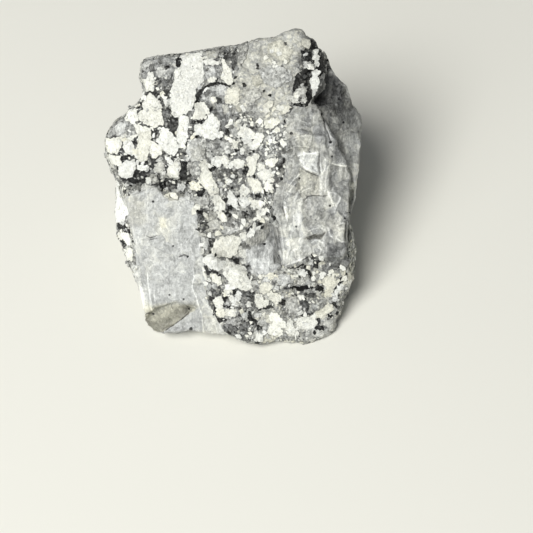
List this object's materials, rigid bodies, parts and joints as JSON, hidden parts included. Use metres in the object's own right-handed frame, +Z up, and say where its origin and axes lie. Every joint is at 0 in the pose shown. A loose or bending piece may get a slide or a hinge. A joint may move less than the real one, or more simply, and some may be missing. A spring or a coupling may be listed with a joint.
{
  "type": "raw fluorite stone",
  "caption": "Rough broken stone of grey translucent fluorite with white and black granular minerals, leaning back on a flat broken base.",
  "frame": {"origin": "at the height of the flat base, below the middle of the stone's box", "axes": "+Z up, -Y towards the front, where the broad broken face looks up and forwards, +X to the right seen from the front"},
  "size_m": [0.0594, 0.0636, 0.0491],
  "materials": {
    "fluorite_rock": "rough broken stone: dull granular parts and satin, slightly translucent cleavage faces"
  },
  "bodies": {
    "root": {"fluorite_stone": "fluorite_rock"}
  },
  "joints": []
}
